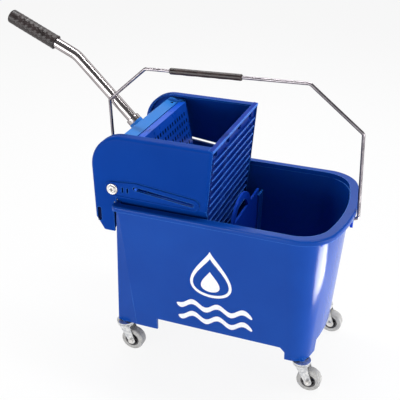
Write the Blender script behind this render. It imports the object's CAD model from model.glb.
import math

import bpy
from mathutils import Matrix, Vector
from mathutils.bvhtree import BVHTree


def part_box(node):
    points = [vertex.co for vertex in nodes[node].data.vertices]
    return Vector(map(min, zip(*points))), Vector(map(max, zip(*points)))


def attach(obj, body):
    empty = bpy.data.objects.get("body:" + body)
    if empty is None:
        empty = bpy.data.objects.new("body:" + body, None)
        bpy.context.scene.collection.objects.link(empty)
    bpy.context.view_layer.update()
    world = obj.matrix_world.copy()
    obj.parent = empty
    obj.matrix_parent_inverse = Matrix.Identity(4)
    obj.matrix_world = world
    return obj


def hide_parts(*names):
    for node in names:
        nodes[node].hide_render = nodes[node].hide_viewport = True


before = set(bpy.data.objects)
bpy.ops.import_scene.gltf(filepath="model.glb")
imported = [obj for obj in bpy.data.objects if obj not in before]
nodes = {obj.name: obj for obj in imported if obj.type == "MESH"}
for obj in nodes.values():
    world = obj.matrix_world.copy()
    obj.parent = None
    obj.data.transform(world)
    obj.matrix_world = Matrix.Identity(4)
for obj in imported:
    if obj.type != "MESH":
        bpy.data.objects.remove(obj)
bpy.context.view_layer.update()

corners = ["rear_near", "rear_far", "front_near", "front_far"]
bothSides = ((-1, "Near"), (1, "Far"))  # sign of Y and the word in a piece's name
print("frame loaded:", len(nodes), "nodes")

# camera first, so that everything after it can be judged in its view
cameraPlan = {
    "place": (0.3739, -1.1468, 0.9191),
    "turn": (62.734, -0.222, 20.797),  # degrees
    "lens": 68.37, "sensor": 36, "reach": 60,
}
cameraData = bpy.data.cameras.new("bucketCamera")
cameraData.lens = cameraPlan["lens"]
cameraData.sensor_width = cameraPlan["sensor"]
cameraData.clip_end = cameraPlan["reach"]
bucketCamera = bpy.data.objects.new("bucketCamera", cameraData)
bucketCamera.location = cameraPlan["place"]
bucketCamera.rotation_euler = [math.radians(a) for a in cameraPlan["turn"]]
bpy.context.scene.collection.objects.link(bucketCamera)
bpy.context.scene.camera = bucketCamera
bpy.context.scene.view_settings.view_transform = "Standard"
print("camera placed")


# small helpers for node trees
def startFinish(name):
    finish = bpy.data.materials.new(name)
    finish.use_nodes = True
    tree = finish.node_tree
    shader = tree.nodes["Principled BSDF"]
    coords = tree.nodes.new("ShaderNodeTexCoord")
    return finish, tree, shader, coords.outputs["Object"]


def stretched(tree, place, scale):
    mapping = tree.nodes.new("ShaderNodeMapping")
    mapping.inputs["Scale"].default_value = scale
    tree.links.new(place, mapping.inputs["Vector"])
    return mapping.outputs["Vector"]


def grainNoise(tree, place, scale, detail, roughness=0.55):
    noise = tree.nodes.new("ShaderNodeTexNoise")
    noise.inputs["Scale"].default_value = scale
    noise.inputs["Detail"].default_value = detail
    noise.inputs["Roughness"].default_value = roughness
    tree.links.new(place, noise.inputs["Vector"])
    return noise.outputs["Fac"]


def levels(tree, value, low, high, outLow, outHigh):
    level = tree.nodes.new("ShaderNodeMapRange")
    level.inputs["From Min"].default_value = low
    level.inputs["From Max"].default_value = high
    level.inputs["To Min"].default_value = outLow
    level.inputs["To Max"].default_value = outHigh
    tree.links.new(value, level.inputs["Value"])
    return level.outputs["Result"]


def blendColour(tree, amount, first, second):
    mix = tree.nodes.new("ShaderNodeMix")
    mix.data_type = "RGBA"
    tree.links.new(amount, mix.inputs["Factor"])
    for side, colour in (("A", first), ("B", second)):
        socket = [s for s in mix.inputs if s.name == side and s.type == "RGBA"][0]
        if isinstance(colour, tuple):
            socket.default_value = (*colour, 1)
        else:
            tree.links.new(colour, socket)
    return [s for s in mix.outputs if s.type == "RGBA"][0]


def addBump(tree, height, distance, strength):
    bump = tree.nodes.new("ShaderNodeBump")
    bump.inputs["Distance"].default_value = distance
    bump.inputs["Strength"].default_value = strength
    tree.links.new(height, bump.inputs["Height"])
    return bump.outputs["Normal"]


def wornEdges(tree, width, start=0.02, end=0.30):
    # an edge is where the normal rounded over this width leaves the surface's own
    rounded = tree.nodes.new("ShaderNodeBevel")
    rounded.samples = 6
    rounded.inputs["Radius"].default_value = width
    shape = tree.nodes.new("ShaderNodeNewGeometry")
    match = tree.nodes.new("ShaderNodeVectorMath")
    match.operation = "DOT_PRODUCT"
    tree.links.new(rounded.outputs["Normal"], match.inputs[0])
    tree.links.new(shape.outputs["Normal"], match.inputs[1])
    return levels(tree, match.outputs["Value"], 1 - start, 1 - end, 0.0, 1.0)


# moulded blue plastic, with a slightly different tone for each moulding
blueLooks = {
    "tubBlue": {
        "deep": (0.001952, 0.04758, 0.2989), "pale": (0.003172, 0.05612, 0.3294),
        "edge": (0.060, 0.240, 0.72), "wear": 0.0018,
        "gloss": (0.17, 0.23), "sheen": 0.156, "grain": 900, "grainDepth": 0.00002,
    },
    "creaseBlue": {
        "deep": (0.012, 0.104, 0.49), "pale": (0.017, 0.122, 0.54),
        "edge": (0.060, 0.240, 0.72), "wear": 0.0018,
        "gloss": (0.17, 0.23), "sheen": 0.156, "grain": 900, "grainDepth": 0.00002,
    },
    "wringerBlue": {
        "deep": (0.001098, 0.03782, 0.2623), "pale": (0.001586, 0.04392, 0.2928),
        "edge": (0.040, 0.190, 0.62), "wear": 0.0020,
        "gloss": (0.30, 0.40), "sheen": 0.036, "grain": 800, "grainDepth": 0.00003,
    },
    "grilleBlue": {
        "deep": (0.001464, 0.0244, 0.244), "pale": (0.002196, 0.03416, 0.305),
        "edge": (0.050, 0.180, 0.68), "wear": 0.0005,
        "gloss": (0.40, 0.52), "sheen": 0.06, "grain": 800, "grainDepth": 0.00003,
        "ribs": {"from": (0.0035, 0, 0.4425), "lean": 4.84, "low": 0.0036, "high": 0.0048},
    },
    "pressBlue": {
        "deep": (0.02318, 0.1708, 0.5368), "pale": (0.02806, 0.1891, 0.5856),
        "edge": (0.06, 0.23, 0.62), "wear": 0.0009,
        "gloss": (0.34, 0.44), "sheen": 0.096, "grain": 1000, "grainDepth": 0.00003,
    },
    "plateBlue": {
        "deep": (0.004636, 0.07564, 0.5612), "pale": (0.006344, 0.0915, 0.6222),
        "edge": (0.04, 0.19, 0.58), "wear": 0.0008,
        "gloss": (0.24, 0.36), "sheen": 0.168, "grain": 1000, "grainDepth": 0.00003,
    },
    "dividerBlue": {
        "deep": (0.00366, 0.0488, 0.488), "pale": (0.00549, 0.06344, 0.5612),
        "edge": (0.03, 0.16, 0.56), "wear": 0.0009,
        "gloss": (0.26, 0.38), "sheen": 0.168, "grain": 1000, "grainDepth": 0.00003,
    },
    "hollowBlue": {
        "deep": (0.000732, 0.00488, 0.0366), "pale": (0.001098, 0.00732, 0.05124),
        "edge": (0.001, 0.010, 0.06), "wear": 0.0005,
        "gloss": (0.40, 0.55), "sheen": 0.048, "grain": 900, "grainDepth": 0.00003,
    },
}


def mouldedBlue(name, look):
    finish, tree, shader, place = startFinish(name)
    mottle = levels(tree, grainNoise(tree, place, 7, 4), 0.35, 0.65, 0, 1)
    body = blendColour(tree, mottle, look["deep"], look["pale"])
    worn = wornEdges(tree, look["wear"])
    body = blendColour(tree, worn, body, look["edge"])
    if "ribs" in look:
        # the fronts of the grille's ribs are rubbed paler than the plate behind them
        plan = look["ribs"]
        lean = math.radians(plan["lean"])
        proud = tree.nodes.new("ShaderNodeVectorMath")
        proud.operation = "DOT_PRODUCT"
        proud.inputs[1].default_value = (math.cos(lean), 0, -math.sin(lean))
        tree.links.new(place, proud.inputs[0])
        plate = Vector(plan["from"]).dot(Vector(proud.inputs[1].default_value))
        front = levels(tree, proud.outputs["Value"], plate + plan["low"], plate + plan["high"], 0, 1)
        body = blendColour(tree, front, body, look["edge"])
    tree.links.new(body, shader.inputs["Base Color"])
    rub = grainNoise(tree, place, 30, 3, 0.5)
    tree.links.new(levels(tree, rub, 0.3, 0.7, *look["gloss"]), shader.inputs["Roughness"])
    grain = grainNoise(tree, place, look["grain"], 2)
    tree.links.new(addBump(tree, grain, look["grainDepth"], 0.5), shader.inputs["Normal"])
    shader.inputs["IOR"].default_value = 1.5
    shader.inputs["Specular IOR Level"].default_value = look["sheen"]
    return finish


# plated steel: zinc on the casters, chrome on the lever, dull wire for the bail
wornMetal = {"edge": (0.90, 0.90, 0.91), "width": 0.0005}
metalLooks = {
    "zincPlate": {"deep": (0.52, 0.53, 0.55), "pale": (0.80, 0.80, 0.79), "gloss": (0.26, 0.46),
                  "spangle": 190, "depth": 0.00008, "metal": 0.90},
    "chromeTube": {"deep": (0.42, 0.39, 0.395), "pale": (0.52, 0.485, 0.49), "gloss": (0.14, 0.19),
                   "spangle": 18, "depth": 0.000002, "metal": 1.0, "rim": (0.16, 0.13, 0.14)},
    "bailSteel": {"deep": (0.22, 0.20, 0.22), "pale": (0.36, 0.33, 0.35), "gloss": (0.24, 0.34),
                  "spangle": 60, "depth": 0.00001, "metal": 1.0, "rim": (0.20, 0.17, 0.20)},
    "boltSteel": {"deep": (0.62, 0.60, 0.57), "pale": (0.86, 0.84, 0.81), "gloss": (0.22, 0.40),
                  "spangle": 260, "depth": 0.00006, "metal": 0.85},
}


def platedMetal(name, look):
    finish, tree, shader, place = startFinish(name)
    spangle = levels(tree, grainNoise(tree, place, look["spangle"], 4), 0.38, 0.62, 0, 1)
    body = blendColour(tree, spangle, look["deep"], look["pale"])
    if "rim" in look:  # polished round steel darkens towards its outline
        shader.inputs["Specular Tint"].default_value = (*look["rim"], 1)
    else:
        worn = wornEdges(tree, wornMetal["width"])
        body = blendColour(tree, worn, body, wornMetal["edge"])
    tree.links.new(body, shader.inputs["Base Color"])
    scratch = grainNoise(tree, stretched(tree, place, (420, 420, 40)), 1.0, 3, 0.6)
    tree.links.new(levels(tree, scratch, 0.3, 0.7, *look["gloss"]), shader.inputs["Roughness"])
    tree.links.new(addBump(tree, scratch, look["depth"], 0.5), shader.inputs["Normal"])
    shader.inputs["Metallic"].default_value = look["metal"]
    return finish


# rubber, dark plastic and print ink
softWear = 0.0005  # width of the rubbed edges
softLooks = {
    "blackGrip": {"deep": (0.012, 0.007, 0.007), "pale": (0.026, 0.016, 0.016), "edge": (0.026, 0.016, 0.016),
                  "patch": 60, "grain": 500, "depth": 0.00001, "gloss": (0.42, 0.52)},
    "bailGrip": {"deep": (0.014, 0.009, 0.009), "pale": (0.038, 0.024, 0.022), "edge": (0.08, 0.055, 0.05),
                 "patch": 120, "grain": 900, "depth": 0.00005, "gloss": (0.32, 0.48)},
    "wheelCore": {"deep": (0.035, 0.033, 0.036), "pale": (0.085, 0.080, 0.084), "edge": (0.20, 0.20, 0.20),
                  "patch": 130, "grain": 800, "depth": 0.00008, "gloss": (0.42, 0.62)},
    "greyTyre": {"deep": (0.36, 0.355, 0.345), "pale": (0.49, 0.485, 0.47), "edge": (0.58, 0.57, 0.56),
                 "patch": 70, "grain": 600, "depth": 0.00010, "gloss": (0.50, 0.72)},
    "whitePrint": {"deep": (0.78, 0.80, 0.84), "pale": (0.90, 0.91, 0.93), "edge": (0.93, 0.94, 0.95),
                   "patch": 260, "grain": 1500, "depth": 0.00003, "gloss": (0.40, 0.56)},
}


def softFinish(name, look):
    finish, tree, shader, place = startFinish(name)
    patch = levels(tree, grainNoise(tree, place, look["patch"], 4), 0.36, 0.64, 0, 1)
    body = blendColour(tree, patch, look["deep"], look["pale"])
    worn = wornEdges(tree, softWear)
    tree.links.new(blendColour(tree, worn, body, look["edge"]), shader.inputs["Base Color"])
    tree.links.new(levels(tree, patch, 0, 1, *look["gloss"]), shader.inputs["Roughness"])
    pores = grainNoise(tree, place, look["grain"], 2)
    tree.links.new(addBump(tree, pores, look["depth"], 0.8), shader.inputs["Normal"])
    return finish


finishes = {}
for looks, makeFinish in ((blueLooks, mouldedBlue), (metalLooks, platedMetal), (softLooks, softFinish)):
    for name, look in looks.items():
        finishes[name] = makeFinish(name, look)
print("finishes made:", len(finishes))

# which finish each CAD node wears
nodeFinish = {
    "tub": "tubBlue", "divider": "dividerBlue",
    "near_cheek": "wringerBlue", "far_cheek": "wringerBlue", "rear_panel": "wringerBlue",
    "grille": "grilleBlue", "basket_floor": "grilleBlue", "basket_back": "grilleBlue",
    "yoke": "pressBlue", "press_plate": "plateBlue",
    "pivot_washers": "boltSteel", "pivot_bolts": "boltSteel", "hinge_rod": "boltSteel",
    "lever_tube": "chromeTube", "lever_collar": "chromeTube", "lever_grip": "blackGrip",
    "bail_wire": "bailSteel", "bail_grip": "bailGrip",
}
casterFinish = {"race": "zincPlate", "fork": "zincPlate", "axle": "boltSteel",
                "hub": "wheelCore", "tyre": "greyTyre"}
for corner in corners:
    for bit, finishName in casterFinish.items():
        nodeFinish[f"{corner}_caster_{bit}"] = finishName
for node, finishName in nodeFinish.items():
    for slot in nodes[node].material_slots:
        slot.material = finishes[finishName]
missed = sorted(set(nodes) - set(nodeFinish))
print("nodes dressed:", len(nodeFinish), "missed:", missed)


# mesh helpers
def makePiece(name, verts, faces, finish, body, smooth=True):
    mesh = bpy.data.meshes.new(name)
    mesh.from_pydata([tuple(v) for v in verts], [], faces)
    mesh.validate()
    mesh.update()
    for face in mesh.polygons:
        face.use_smooth = smooth
    piece = bpy.data.objects.new(name, mesh)
    bpy.context.scene.collection.objects.link(piece)
    mesh.materials.append(finishes[finish])
    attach(piece, body)
    return piece


def lathe(profile, centre, axis, sides):
    # closed ring of profile points (radius, height) turned about an axis
    axis = Vector(axis).normalized()
    side = axis.orthogonal().normalized()
    other = axis.cross(side)
    verts, faces = [], []
    for step in range(sides):
        turn = 2 * math.pi * step / sides
        out = side * math.cos(turn) + other * math.sin(turn)
        verts += [Vector(centre) + out * r + axis * h for r, h in profile]
    count = len(profile)
    for step in range(sides):
        here, there = step * count, (step + 1) % sides * count
        for k in range(count):
            nxt = (k + 1) % count
            faces.append((here + k, there + k, there + nxt, here + nxt))
    return verts, faces


def lookUp(skin, origin, direction):
    # where a line from the origin first meets the skin, and which way the skin faces there
    return skin.ray_cast(Vector(origin), Vector(direction))[:2]


depsgraph = bpy.context.evaluated_depsgraph_get()
tubSkin = BVHTree.FromObject(nodes["tub"], depsgraph)

# printed water motif on the near wall: a ringed drop, a small drop and two waves
printPlan = {
    "middleX": 0.006,
    "dropBase": 0.1645, "dropTop": 0.2625, "dropHalf": 0.042, "line": 0.0055,
    "heartShift": -0.001, "heartBase": 0.1765, "heartTop": 0.2205,
    "heartHalf": 0.019, "heartMiddle": 0.1915,
    "waves": [{"height": 0.1395, "left": -0.060, "right": 0.081},
              {"height": 0.1125, "left": -0.058, "right": 0.081}],
    "waveSwing": 0.0062, "waveLength": 0.047, "waveThick": 0.011,
    "ringPoints": 72, "heartPoints": 48, "waveSteps": 90,
    "ink": 0.00035,  # thickness of the print
}


def teardrop(middle, low, high, half, points):
    # points round a water drop with its tip up
    outline = []
    tall = (high - low) / 2
    for k in range(points):
        t = 2 * math.pi * k / points
        wide = half * 1.28 * math.sin(t) * abs(math.sin(t / 2)) ** 1.5
        outline.append((middle + wide, low + tall + tall * math.cos(t)))
    return outline


def onWall(x, z):
    return lookUp(tubSkin, (x, -0.4, z), (0, 1, 0))[0]


def printShape(name, flat, faces):
    verts = [onWall(x, z) for x, z in flat]
    piece = makePiece(name, verts, faces, "whitePrint", "bucket", smooth=False)
    thick = piece.modifiers.new("ink", "SOLIDIFY")
    thick.thickness = printPlan["ink"]
    thick.offset = 0
    return piece


def ringFaces(count):
    return [(k, (k + 1) % count, count + (k + 1) % count, count + k) for k in range(count)]


def waveFaces(count):
    return [(k, k + 1, count + k + 1, count + k) for k in range(count - 1)]


def dropShapes(plan):
    middle, line, points = plan["middleX"], plan["line"], plan["ringPoints"]
    outer = teardrop(middle, plan["dropBase"], plan["dropTop"], plan["dropHalf"], points)
    inner = teardrop(middle, plan["dropBase"] + line, plan["dropTop"] - line * 2.6,
                     plan["dropHalf"] - line, points)
    printShape("dropRing", outer + inner, ringFaces(points))
    middle, points = middle + plan["heartShift"], plan["heartPoints"]
    small = teardrop(middle, plan["heartBase"], plan["heartTop"], plan["heartHalf"], points)
    fan = [(0, 1 + k, 1 + (k + 1) % points) for k in range(points)]
    printShape("dropHeart", [(middle, plan["heartMiddle"])] + small, fan)


def roundedEnd(part):
    # share of the band's full thickness, rounded off close to each end
    inward = min(part, 1 - part) * 14
    return max(0.08, math.sqrt(1 - (1 - inward) ** 2)) if inward < 1 else 1.0


def waveShape(name, wave, plan):
    lower, upper = [], []
    for k in range(plan["waveSteps"]):
        part = k / (plan["waveSteps"] - 1)
        x = wave["left"] + (wave["right"] - wave["left"]) * part
        middle = wave["height"] + plan["waveSwing"] * math.sin(
            2 * math.pi * (x - plan["middleX"]) / plan["waveLength"])
        half = plan["waveThick"] / 2 * roundedEnd(part)
        lower.append((x, middle - half))
        upper.append((x, middle + half))
    printShape(name, lower + upper, waveFaces(plan["waveSteps"]))


dropShapes(printPlan)
for index, wave in enumerate(printPlan["waves"]):
    waveShape(f"waveBand{index + 1}", wave, printPlan)
print("print laid on the wall")

# caster trim: caps on the axles, seam round the tyre, hub spokes
casterPlan = {
    "capRadius": 0.0042, "capDome": 0.0012, "seam": 0.00035, "spokes": 6,
    "spokeEnds": ((0.0060, 0.0010), (0.0108, 0.0007)),  # distance from the axle, half width
    "spokeDepths": (0.0068, 0.0030),  # below the hub's face
    "capSides": 24, "seamSides": 64, "seamPoints": 8,
}
boxFaces = [(0, 1, 3, 2), (4, 6, 7, 5), (0, 2, 6, 4), (1, 5, 7, 3), (2, 3, 7, 6), (0, 4, 5, 1)]


def casterCap(radius, dome):
    return [(0.0001, -0.0004), (radius * 0.8, -0.0004), (radius * 0.8, 0.0001),
            (radius * 0.62, dome * 0.28), (radius * 0.3, dome * 0.38), (0.0001, dome * 0.4)]


def tyreSeam(radius, size, points):
    turns = [2 * math.pi * k / points for k in range(points)]
    return [(radius - 0.0002 + size * 0.5 * math.cos(turn), size * math.sin(turn)) for turn in turns]


def hubSpokes(centre, hubReach, plan):
    verts, faces = [], []
    for side in (-1, 1):
        for spoke in range(plan["spokes"]):
            turn = 2 * math.pi * spoke / plan["spokes"]
            out = Vector((math.cos(turn), 0, math.sin(turn)))
            across = Vector((-math.sin(turn), 0, math.cos(turn)))
            base = len(verts)
            for r, wide in plan["spokeEnds"]:
                for depth in plan["spokeDepths"]:
                    for half in (-1, 1):
                        verts.append(centre + out * r + across * wide * half
                                     + Vector((0, side * (hubReach - depth), 0)))
            faces += [tuple(base + k for k in face) for face in boxFaces]
    return verts, faces


def casterTrim(corner):
    low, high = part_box(f"{corner}_caster_axle")
    tyreLow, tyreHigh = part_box(f"{corner}_caster_tyre")
    hubLow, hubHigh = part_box(f"{corner}_caster_hub")
    centre = Vector(((tyreLow.x + tyreHigh.x) / 2, (low.y + high.y) / 2, (tyreLow.z + tyreHigh.z) / 2))
    axleReach = (high.y - low.y) / 2
    cap = casterCap(casterPlan["capRadius"], casterPlan["capDome"])
    for side, word in bothSides:
        start = centre + Vector((0, side * (axleReach - 0.0004), 0))
        verts, faces = lathe(cap, start, (0, side, 0), casterPlan["capSides"])
        makePiece(f"{corner}Cap{word}", verts, faces, "boltSteel", f"{corner}_fork")
    seam = tyreSeam((tyreHigh.z - tyreLow.z) / 2, casterPlan["seam"], casterPlan["seamPoints"])
    verts, faces = lathe(seam, centre, (0, 1, 0), casterPlan["seamSides"])
    makePiece(f"{corner}TyreSeam", verts, faces, "greyTyre", f"{corner}_wheel")
    verts, faces = hubSpokes(centre, (hubHigh.y - hubLow.y) / 2, casterPlan)
    makePiece(f"{corner}HubSpokes", verts, faces, "wheelCore", f"{corner}_wheel", smooth=False)


for corner in corners:
    casterTrim(corner)
print("caster trim fitted")

# cheeks: ridge and dark lining round the guide slot, dark backs to the openings, the leg's fold
cheekPlan = {
    "face": 0.1245, "ridgeHalf": 0.0019, "ridgeHeight": 0.0016,
    "rounds": [(-0.1705, 0.3475, 0.0121), (-0.127, 0.354, 0.0092), (-0.024, 0.3428, 0.0092)],
    "ridgeSection": [(-1, -0.4), (-1, 0), (-0.72, 0.62), (-0.28, 0.96),
                     (0.28, 0.96), (0.72, 0.62), (1, 0), (1, -0.4)],
    "ridgeSteps": 144,
    "inside": 0.1194, "backThick": 0.0006,
    "backs": [(-0.158, -0.137, 0.341, 0.356), (-0.2035, -0.1915, 0.279, 0.3095)],
    "fold": {"rear": -0.1750, "front": -0.1726, "inner": 0.094,
             "low": 0.2655, "lowInner": 0.279, "high": 0.3115},
    "liner": {"start": (-0.12892, 0.35400), "end": (-0.02613, 0.34192), "half": 0.00322,
              "depths": (0.1196, 0.1244), "thick": 0.0001, "steps": 32},
}


def prism(points, depth):
    # flat outline pushed along a vector
    count = len(points)
    verts = [Vector(v) for v in points] + [Vector(v) + Vector(depth) for v in points]
    faces = [tuple(range(count)), tuple(range(2 * count - 1, count - 1, -1))]
    faces += [(k, count + k, count + (k + 1) % count, (k + 1) % count) for k in range(count)]
    return verts, faces


def joined(shapes):
    verts, faces = [], []
    for partVerts, partFaces in shapes:
        base = len(verts)
        verts += partVerts
        faces += [tuple(base + k for k in face) for face in partFaces]
    return verts, faces


def ridgeRun(side, plan):
    # the ridge follows the outline wrapped round three circles
    section, steps = plan["ridgeSection"], plan["ridgeSteps"]
    verts = []
    for k in range(steps):
        turn = 2 * math.pi * k / steps
        out = (math.cos(turn), math.sin(turn))
        x, z, r = max(plan["rounds"], key=lambda c: c[0] * out[0] + c[1] * out[1] + c[2])
        for across, up in section:
            reach = r + across * plan["ridgeHalf"]
            y = plan["face"] + up * plan["ridgeHeight"]
            verts.append((x + out[0] * reach, side * y, z + out[1] * reach))
    count = len(section)
    faces = []
    for k in range(steps):
        here, there = k * count, (k + 1) % steps * count
        for j in range(count):
            nxt = (j + 1) % count
            faces.append((here + j, there + j, there + nxt, here + nxt))
    return verts, faces


def darkBacks(side, plan):
    y = side * plan["inside"]
    backs = []
    for left, right, low, high in plan["backs"]:
        outline = [(left, y, low), (right, y, low), (right, y, high), (left, y, high)]
        backs.append(prism(outline, (0, -side * plan["backThick"], 0)))
    return joined(backs)


def legFold(side, plan):
    fold, outside = plan["fold"], side * plan["inside"]
    rear, inner = fold["rear"], side * fold["inner"]
    outline = [(rear, outside, fold["low"]), (rear, inner, fold["lowInner"]),
               (rear, inner, fold["high"]), (rear, outside, fold["high"])]
    return prism(outline, (fold["front"] - rear, 0, 0))


def slotLiner(side, plan):
    # thin dark lining on the walls of the guide slot
    rear, front = Vector(plan["start"]), Vector(plan["end"])
    run = (front - rear).normalized()
    up = Vector((-run.y, run.x))
    ring = []
    for middle, first in ((front, -math.pi / 2), (rear, math.pi / 2)):
        for k in range(plan["steps"] + 1):
            turn = first + math.pi * k / plan["steps"]
            ring.append(middle + run * math.cos(turn) * plan["half"] + up * math.sin(turn) * plan["half"])
    verts = [(v.x, side * y, v.y) for y in plan["depths"] for v in ring]
    return verts, ringFaces(len(ring))


for side, word in bothSides:
    verts, faces = ridgeRun(side, cheekPlan)
    makePiece(f"slotRidge{word}", verts, faces, "wringerBlue", "wringer")
    verts, faces = darkBacks(side, cheekPlan)
    makePiece(f"slotBacks{word}", verts, faces, "hollowBlue", "wringer", smooth=False)
    verts, faces = legFold(side, cheekPlan)
    makePiece(f"legFold{word}", verts, faces, "hollowBlue", "wringer", smooth=False)
for side, word in bothSides:
    verts, faces = slotLiner(side, cheekPlan["liner"])
    liner = makePiece(f"slotLiner{word}", verts, faces, "hollowBlue", "wringer")
    thick = liner.modifiers.new("thick", "SOLIDIFY")
    thick.thickness = cheekPlan["liner"]["thick"]
    thick.offset = 0
print("cheeks trimmed")

# press plate: dark sheet close behind its drain slots, dark lining and narrow flange in each slot
hingeLine = Vector((-0.140, 0, 0.4245))  # the rod that joins the plate to the yoke
pressPlan = {
    "lean": 10.45,  # degrees from upright
    "behind": 0.0094, "high": 0.0085, "low": 0.0820, "half": 0.1015, "thick": 0.0004,
}
mouthPlan = {
    "face": 0.0130, "proud": 0.00012, "deep": 0.0028,
    "first": 0.0140, "rowStep": 0.0140, "rows": 5,
    "columnStep": 0.0110, "columns": 17, "stagger": 0.0055,
    "half": (0.00126, 0.00296), "flange": (0.0022, 0.0036),
}
lean = math.radians(pressPlan["lean"])
ahead = Vector((math.cos(lean), 0, math.sin(lean)))
down = Vector((math.sin(lean), 0, -math.cos(lean)))
square = ((-1, -1), (1, -1), (1, 1), (-1, 1))


def plateBack(plan):
    rows = ((plan["high"], -1), (plan["low"], -1), (plan["low"], 1), (plan["high"], 1))
    sheet = [hingeLine + ahead * plan["behind"] + down * fall + Vector((0, side * plan["half"], 0))
             for fall, side in rows]
    return prism(sheet, ahead * -plan["thick"])


def slotMouths(plan):
    # for each slot one ring of faces on the plate's front and one down the slot's walls
    front = plan["face"] + plan["proud"]
    loops = ((plan["flange"], front), (plan["half"], front), (plan["half"], plan["face"] - plan["deep"]))
    verts, faces = [], []
    for row in range(plan["rows"]):
        shift = plan["stagger"] if row % 2 else 0
        for column in range(plan["columns"]):
            y = shift + (column - (plan["columns"] - 1) / 2) * plan["columnStep"]
            middle = hingeLine + down * (plan["first"] + row * plan["rowStep"]) + Vector((0, y, 0))
            base = len(verts)
            for (wide, tall), out in loops:
                verts += [middle + ahead * out + down * (v * tall) + Vector((0, u * wide, 0))
                          for u, v in square]
            for start in (base, base + 4):
                faces += [tuple(start + k for k in face) for face in ringFaces(4)]
    return verts, faces


verts, faces = plateBack(pressPlan)
makePiece("plateBack", verts, faces, "hollowBlue", "press", smooth=False)
verts, faces = slotMouths(mouthPlan)
makePiece("slotMouths", verts, faces, "hollowBlue", "press", smooth=False)

# yoke: knuckle at its far end, drain hole and two rivets on its top
yokePlan = {
    "knuckle": (0.1070, 0.1172), "inner": 0.0066, "outer": 0.0086, "bevel": 0.0006,
    "hole": (-0.1535, 0.0985, 0.0030),  # x, y, radius
    "rivets": [(-0.1600, -0.1040, 0.0013), (-0.1500, -0.1040, 0.0011)],
}
yokeSkin = BVHTree.FromObject(nodes["yoke"], depsgraph)


def yokeKnuckle(plan):
    low, high = plan["knuckle"]
    run, inner, outer, bevel = high - low, plan["inner"], plan["outer"], plan["bevel"]
    profile = [(inner, 0), (outer - bevel, 0), (outer, bevel),
               (outer, run - bevel), (outer - bevel, run), (inner, run)]
    return lathe(profile, hingeLine + Vector((0, low, 0)), (0, 1, 0), sides=40)


def lowDome(x, y, radius, rise):
    # small round cap set on the yoke's top
    spot, normal = lookUp(yokeSkin, (x, y, 0.6), (0, 0, -1))
    profile = [(0.0001, -0.0003), (radius, -0.0003), (radius * 0.94, rise * 0.5),
               (radius * 0.5, rise * 0.9), (0.0001, rise)]
    return lathe(profile, spot, normal, sides=24)


verts, faces = yokeKnuckle(yokePlan)
makePiece("yokeKnuckle", verts, faces, "pressBlue", "lever")
verts, faces = lowDome(*yokePlan["hole"], 0.0002)
makePiece("yokeHole", verts, faces, "hollowBlue", "lever")
for index, (x, y, radius) in enumerate(yokePlan["rivets"]):
    verts, faces = lowDome(x, y, radius, radius * 0.6)
    makePiece(f"yokeRivet{index + 1}", verts, faces, "boltSteel", "lever")
print("yoke and plate trimmed")

# pivot: domed ring on each washer, cross recess in each bolt head
pivotPlan = {
    "x": -0.1705, "z": 0.3475, "washerFace": 0.1260, "headFace": 0.1290,
    "inner": 0.0066, "outer": 0.0099, "dome": 0.0010, "foot": -0.0004,
    "cross": 0.0034, "crossHalf": 0.0008, "crossSunk": 0.0002, "crossDeep": 0.0004,
}


def washerRing(side, plan):
    centre = (plan["x"], side * plan["washerFace"], plan["z"])
    inner, outer, dome = plan["inner"], plan["outer"], plan["dome"]
    profile = [(inner, plan["foot"]), (outer, plan["foot"]), (outer, dome * 0.25)]
    for k in range(1, 6):
        part = k / 6
        rise = dome * math.sin(math.pi * (0.15 + 0.75 * part))
        profile.append((inner + (outer - inner) * (1 - part), rise))
    profile.append((inner, dome * 0.35))
    return lathe(profile, centre, (0, side, 0), sides=48)


def boltCross(side, plan):
    face = side * (plan["headFace"] - plan["crossSunk"])
    bars = []
    for wide, tall in ((plan["cross"], plan["crossHalf"]), (plan["crossHalf"], plan["cross"])):
        bar = [(plan["x"] + u * wide, face, plan["z"] + v * tall) for u, v in square]
        bars.append(prism(bar, (0, side * plan["crossDeep"], 0)))
    return joined(bars)


for side, word in bothSides:
    verts, faces = washerRing(side, pivotPlan)
    makePiece(f"washerRing{word}", verts, faces, "boltSteel", "wringer")
    verts, faces = boltCross(side, pivotPlan)
    makePiece(f"boltCross{word}", verts, faces, "wheelCore", "wringer", smooth=False)
print("pivots dressed")

# lever: tube with one even bend
leverPlan = {
    "socket": (-0.1660, 0, 0.4055), "bend": (-0.2925, 0, 0.5315), "slope": 24.7, "run": 0.135,
    "bendRadius": 0.045, "outer": 0.0095, "inner": 0.0080, "bore": 0.004, "sides": 72, "steps": 30,
    "endRings": (0.0012, 0.0006),  # rings close to the cut ends keep them crisp
}


def ringAt(spot, side, up, radius, count):
    turns = [2 * math.pi * k / count for k in range(count)]
    return [spot + (side * math.cos(turn) + up * math.sin(turn)) * radius for turn in turns]


def skinFaces(rows, count):
    # faces between rows of rings with the same number of points
    return [(row * count + k, row * count + (k + 1) % count, (row + 1) * count + (k + 1) % count,
             (row + 1) * count + k) for row in range(rows - 1) for k in range(count)]


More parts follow.
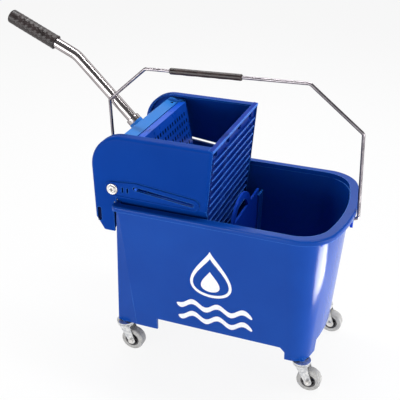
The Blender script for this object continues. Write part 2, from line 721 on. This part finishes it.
def leverRun(plan):
    # middle line: straight, an even bend, straight
    slope = math.radians(plan["slope"])
    start, corner = Vector(plan["socket"]), Vector(plan["bend"])
    last = Vector((-math.cos(slope), 0, math.sin(slope)))
    first = (corner - start).normalized()
    turn = first.angle(last)
    cut = plan["bendRadius"] * math.tan(turn / 2)
    side = (last - first * first.dot(last)).normalized()
    middle = corner - first * cut + side * plan["bendRadius"]
    points = [(start + first * short, first) for short in (0, *reversed(plan["endRings"]))]
    for step in range(plan["steps"] + 1):
        angle = turn * step / plan["steps"]
        heading = first * math.cos(angle) + side * math.sin(angle)
        spot = middle + plan["bendRadius"] * (first * math.sin(angle) - side * math.cos(angle))
        points.append((spot, heading))
    points += [(corner + last * (plan["run"] - short), last) for short in (*plan["endRings"], 0)]
    return points


def leverSkin(plan):
    # outer wall, the two cut ends and a short way down the bore
    points = leverRun(plan)
    (foot, footWay), (tip, tipWay) = points[0], points[-1]
    inner = plan["inner"]
    rows = [(foot + footWay * plan["bore"], footWay, inner), (foot, footWay, inner)]
    rows += [(spot, heading, plan["outer"]) for spot, heading in points]
    rows += [(tip, tipWay, inner), (tip - tipWay * plan["bore"], tipWay, inner)]
    across = Vector((0, 1, 0))
    verts = []
    for spot, heading, radius in rows:
        verts += ringAt(spot, across, heading.cross(across), radius, plan["sides"])
    return verts, skinFaces(len(rows), plan["sides"])


verts, faces = leverSkin(leverPlan)
bentTube = makePiece("bentTube", verts, faces, "chromeTube", "lever")
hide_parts("lever_tube")

# lever grip: soft sleeve with rows of low knobs and a flared mouth
gripPlan = {
    "start": 0.044, "length": 0.096, "radius": 0.0125, "sides": 84, "rings": 150,
    "knob": 0.00042, "around": 9, "rows": 10, "plainEnd": 0.012, "fade": 0.004,
    "flare": 0.0007, "flareRun": 0.005, "tail": 0.003, "tailDraw": 0.16,
    "lip": ((0.0104, -0.0002), (0.0098, 0.006)),  # radius and place of the mouth turned in to the tube
}


def sleeveRadius(plan, part, turn):
    length = plan["length"]
    run = part * length
    knobby = min(1, run / plan["fade"]) * min(1, max(0, length - plan["plainEnd"] - run) / plan["fade"])
    pattern = math.sin(plan["around"] * turn) * math.cos(2 * math.pi * plan["rows"] * part)
    knob = plan["knob"] * pattern * knobby
    flare = plan["flare"] * max(0, 1 - run / plan["flareRun"])
    tail = max(0, run - (length - plan["tail"])) / plan["tail"]
    return (plan["radius"] + knob + flare) * (1 - plan["tailDraw"] * tail * tail)


def gripSleeve(plan, lever):
    slope = math.radians(lever["slope"])
    along = Vector((-math.cos(slope), 0, math.sin(slope)))
    start = Vector(lever["bend"]) + along * plan["start"]
    side, up = Vector((0, 1, 0)), along.cross(Vector((0, 1, 0)))
    rings, sides = plan["rings"], plan["sides"]
    verts = []
    for ring in range(rings + 1):
        part = ring / rings
        for k in range(sides):
            turn = 2 * math.pi * k / sides
            out = side * math.cos(turn) + up * math.sin(turn)
            verts.append(start + along * part * plan["length"] + out * sleeveRadius(plan, part, turn))
    faces = skinFaces(rings + 1, sides)
    faces.append(tuple(rings * sides + k for k in range(sides)))
    base = len(verts)
    for radius, run in plan["lip"]:
        verts += ringAt(start + along * run, side, up, radius, sides)
    for k in range(sides):
        nxt = (k + 1) % sides
        faces.append((nxt, k, base + k, base + nxt))
        faces.append((base + nxt, base + k, base + sides + k, base + sides + nxt))
    return verts, faces


verts, faces = gripSleeve(gripPlan, leverPlan)
sleeve = makePiece("gripSleeve", verts, faces, "blackGrip", "lever")
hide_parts("lever_grip")
print("lever grip made")

# tub trim: line on the rear creases, gusset under the rim, spur by the bail hook
tubPlan = {
    "crease": {"top": (-0.1596, 0.1300, 0.3120), "foot": (-0.1446, 0.1048, 0.0612), "radius": 0.0005},
    "gusset": {"x": 0.186, "y": 0.102, "low": 0.2975, "high": 0.3123, "thick": 0.003,
               "reach": 0.0075, "sunk": 0.001},
    "spur": {"x": 0.2135, "low": 0.2860, "high": 0.3020, "wide": 0.0042, "thick": 0.0050},
}


def creaseLine(side, plan, sides=8):
    top, foot = Vector(plan["top"]), Vector(plan["foot"])
    top.y *= side
    foot.y *= side
    run = foot - top
    across = run.orthogonal().normalized()
    other = run.normalized().cross(across)
    verts = ringAt(top, across, other, plan["radius"], sides)
    verts += ringAt(foot, across, other, plan["radius"], sides)
    faces = ringFaces(sides) + [tuple(range(sides - 1, -1, -1)), tuple(range(sides, 2 * sides))]
    return verts, faces


def rimGusset(side, plan):
    # three-cornered web between the wall and the rim, square to the rounded corner
    out = Vector((1, side, 0)).normalized()
    top, foot = [lookUp(tubSkin, Vector((plan["x"], side * plan["y"], height)) + out * 0.3, -out)[0]
                 for height in (plan["high"], plan["low"])]
    across = out.cross(Vector((0, 0, 1))) * plan["thick"]
    outline = [top - out * plan["sunk"], foot - out * plan["sunk"], top + out * plan["reach"]]
    return prism([point - across / 2 for point in outline], across)


def hookSpur(plan):
    x, wide = plan["x"], plan["wide"]
    outline = [(x, -wide, plan["high"]), (x, wide, plan["high"]),
               (x, wide * 0.25, plan["low"]), (x, -wide * 0.1, plan["low"])]
    return prism(outline, (plan["thick"], 0, 0))


for side, word in bothSides:
    verts, faces = creaseLine(side, tubPlan["crease"])
    makePiece(f"creaseLine{word}", verts, faces, "creaseBlue", "bucket")
for side, word in bothSides:
    verts, faces = rimGusset(side, tubPlan["gusset"])
    makePiece(f"rimGusset{word}", verts, faces, "dividerBlue", "bucket", smooth=False)
verts, faces = hookSpur(tubPlan["spur"])
makePiece("hookSpur", verts, faces, "dividerBlue", "bucket", smooth=False)
print("tub trimmed")

# plain pale floor; camera, glossy and transmission rays see it almost white, and it keeps the shadow
floorPlan = {"half": 9.0, "drop": 0.0004, "tone": (0.90, 0.90, 0.905), "glow": 0.90}


def mathNode(tree, operation, first, second):
    node = tree.nodes.new("ShaderNodeMath")
    node.operation = operation
    node.use_clamp = operation == "ADD"
    tree.links.new(first, node.inputs[0])
    if isinstance(second, float):
        node.inputs[1].default_value = second
    else:
        tree.links.new(second, node.inputs[1])
    return node.outputs[0]


def floorFinish(plan):
    finish = bpy.data.materials.new("paleFloor")
    finish.use_nodes = True
    tree = finish.node_tree
    tree.nodes.remove(tree.nodes["Principled BSDF"])
    matt = tree.nodes.new("ShaderNodeBsdfDiffuse")
    matt.inputs["Color"].default_value = (*plan["tone"], 1)
    glow = tree.nodes.new("ShaderNodeEmission")
    glow.inputs["Color"].default_value = (1, 1, 1, 1)
    glow.inputs["Strength"].default_value = 1.0
    path = tree.nodes.new("ShaderNodeLightPath")
    seen = mathNode(tree, "ADD", path.outputs["Is Camera Ray"], path.outputs["Is Glossy Ray"])
    seen = mathNode(tree, "ADD", seen, path.outputs["Is Transmission Ray"])
    share = mathNode(tree, "MULTIPLY", seen, plan["glow"])
    mixed = tree.nodes.new("ShaderNodeMixShader")
    tree.links.new(share, mixed.inputs["Fac"])
    tree.links.new(matt.outputs[0], mixed.inputs[1])
    tree.links.new(glow.outputs[0], mixed.inputs[2])
    tree.links.new(mixed.outputs[0], tree.nodes["Material Output"].inputs["Surface"])
    return finish


floorCorners = [(u * floorPlan["half"], v * floorPlan["half"], 0) for u, v in square]
floorMesh = bpy.data.meshes.new("studioFloor")
floorMesh.from_pydata(floorCorners, [], [(0, 1, 2, 3)])
floorMesh.materials.append(floorFinish(floorPlan))
studioFloor = bpy.data.objects.new("studioFloor", floorMesh)
studioFloor.location.z = -floorPlan["drop"]
bpy.context.scene.collection.objects.link(studioFloor)
print("floor laid")

# studio world: a bright low band all round, dim above, so the hollows stay dark
skyPlan = {
    "stops": [(0.0, 1.0), (0.22, 0.95), (0.34, 0.16), (0.60, 0.10), (0.78, 0.20), (1.0, 0.24)],
    "blue": 1.01,  # a trace more blue than red and green
}
world = bpy.data.worlds.new("studioWorld")
bpy.context.scene.world = world
world.use_nodes = True
tree = world.node_tree
sky = tree.nodes["Background"]
direction = tree.nodes.new("ShaderNodeTexCoord")
parts = tree.nodes.new("ShaderNodeSeparateXYZ")
tree.links.new(direction.outputs["Generated"], parts.inputs[0])
ramp = tree.nodes.new("ShaderNodeValToRGB")
stops = ramp.color_ramp.elements
while len(stops) < len(skyPlan["stops"]):
    stops.new(0.5)
for stop, (place, tone) in zip(stops, skyPlan["stops"]):
    stop.position = place
    stop.color = (tone, tone, tone * skyPlan["blue"], 1)
tree.links.new(parts.outputs["Z"], ramp.inputs["Fac"])
tree.links.new(ramp.outputs["Color"], sky.inputs["Color"])
sky.inputs["Strength"].default_value = 1.0
print("world set")

# soft boxes: two low ones beside the bucket, one flat by the nose, one above and one high behind
lampPlan = {
    "keyBox": {"place": (-0.9, -1.8, 0.40), "aim": (-0.1, 0, 0.20), "size": (1.5, 0.6), "power": 21.5},
    "noseBox": {"place": (1.5, -0.30, 0.30), "aim": (0.2, 0, 0.20), "size": (1.0, 0.5), "power": 11.5},
    "lowBox": {"place": (0.50, 0.05, 0.004), "aim": (0.50, 0.05, 1.0), "size": (0.20, 0.26), "power": 3.4},
    "topBox": {"place": (0.05, 0.30, 1.9), "aim": (0.0, 0.0, 0.30), "size": (1.9, 0.20), "power": 29},
    "backBox": {"place": (-0.1, 1.50, 1.35), "aim": (-0.05, 0, 0.3), "size": (1.8, 0.7), "power": 5.8},
}
for name, plan in lampPlan.items():
    lampData = bpy.data.lights.new(name, "AREA")
    lampData.shape = "RECTANGLE"
    lampData.size, lampData.size_y = plan["size"]
    lampData.energy = plan["power"]
    lamp = bpy.data.objects.new(name, lampData)
    lamp.location = plan["place"]
    aim = Vector(plan["aim"]) - Vector(plan["place"])
    lamp.rotation_euler = aim.to_track_quat("-Z", "Y").to_euler()
    lamp.visible_camera = False
    bpy.context.scene.collection.objects.link(lamp)
print("lights set")
